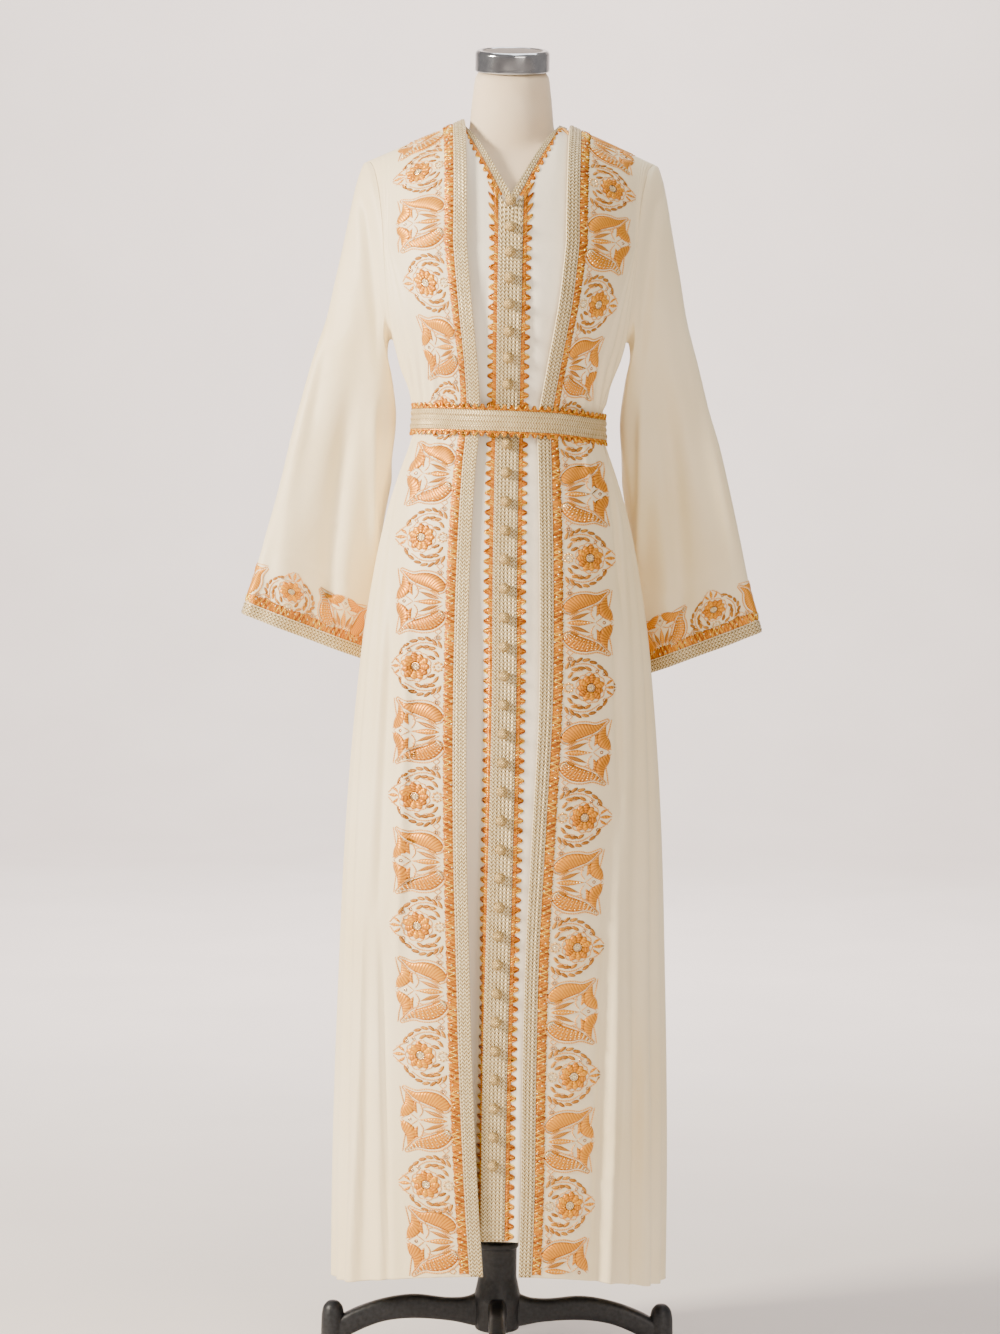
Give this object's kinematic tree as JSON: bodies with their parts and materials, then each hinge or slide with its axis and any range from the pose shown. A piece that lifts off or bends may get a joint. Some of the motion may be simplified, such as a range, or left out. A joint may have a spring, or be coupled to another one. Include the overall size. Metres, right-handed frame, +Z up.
{
  "type": "evening dress with its dress form and stand",
  "caption": "Full-length evening dress of Maghrebi cut: open embroidered robe with bell sleeves over a buttoned V-neck dress, gathered by a belt, on a limbless form and stand.",
  "frame": {"origin": "on the floor under the stand's pole, at the middle of the bounding box's base", "axes": "+Z up along the pole, +X towards the right as seen from the front, -Y out of the dress's front"},
  "size_m": [0.6844, 0.4662, 1.7365],
  "materials": {
    "robe_satin": "satin sheen",
    "inner_satin": "satin sheen",
    "braid": "plaited metallic cord",
    "belt_braid": "plaited metallic cord edged with gold beads",
    "embroidery": "raised satin stitch, beads and sequins",
    "button_cord": "knotted cord",
    "jersey": "matte",
    "cap_metal": "polished",
    "pole_metal": "dull",
    "base_iron": "black enamel"
  },
  "bodies": {
    "root": {"robe_back": "robe_satin", "robe_front_left": "robe_satin", "robe_front_right": "robe_satin", "sleeve_left": "robe_satin", "sleeve_right": "robe_satin", "front_braid_left": "braid", "front_braid_right": "braid", "front_border_left": "embroidery", "front_border_right": "embroidery", "cuff_braid_left": "braid", "cuff_braid_right": "braid", "cuff_border_left": "embroidery", "cuff_border_right": "embroidery", "inner_front_left": "inner_satin", "inner_front_right": "inner_satin", "inner_back": "inner_satin", "placket": "braid", "neck_braid_left": "braid", "neck_braid_right": "braid", "button_upper_01": "button_cord", "button_upper_02": "button_cord", "button_upper_03": "button_cord", "button_upper_04": "button_cord", "button_upper_05": "button_cord", "button_upper_06": "button_cord", "button_upper_07": "button_cord", "button_upper_08": "button_cord", "button_lower_01": "button_cord", "button_lower_02": "button_cord", "button_lower_03": "button_cord", "button_lower_04": "button_cord", "button_lower_05": "button_cord", "button_lower_06": "button_cord", "button_lower_07": "button_cord", "button_lower_08": "button_cord", "button_lower_09": "button_cord", "button_lower_10": "button_cord", "button_lower_11": "button_cord", "button_lower_12": "button_cord", "button_lower_13": "button_cord", "button_lower_14": "button_cord", "button_lower_15": "button_cord", "button_lower_16": "button_cord", "button_lower_17": "button_cord", "button_lower_18": "button_cord", "button_lower_19": "button_cord", "button_lower_20": "button_cord", "button_lower_21": "button_cord", "button_lower_22": "button_cord", "button_lower_23": "button_cord", "button_lower_24": "button_cord", "button_lower_25": "button_cord", "button_lower_26": "button_cord", "belt": "belt_braid", "dress_form": "jersey", "neck_cap": "cap_metal", "pole": "pole_metal", "stand_base": "base_iron"}
  },
  "joints": []
}
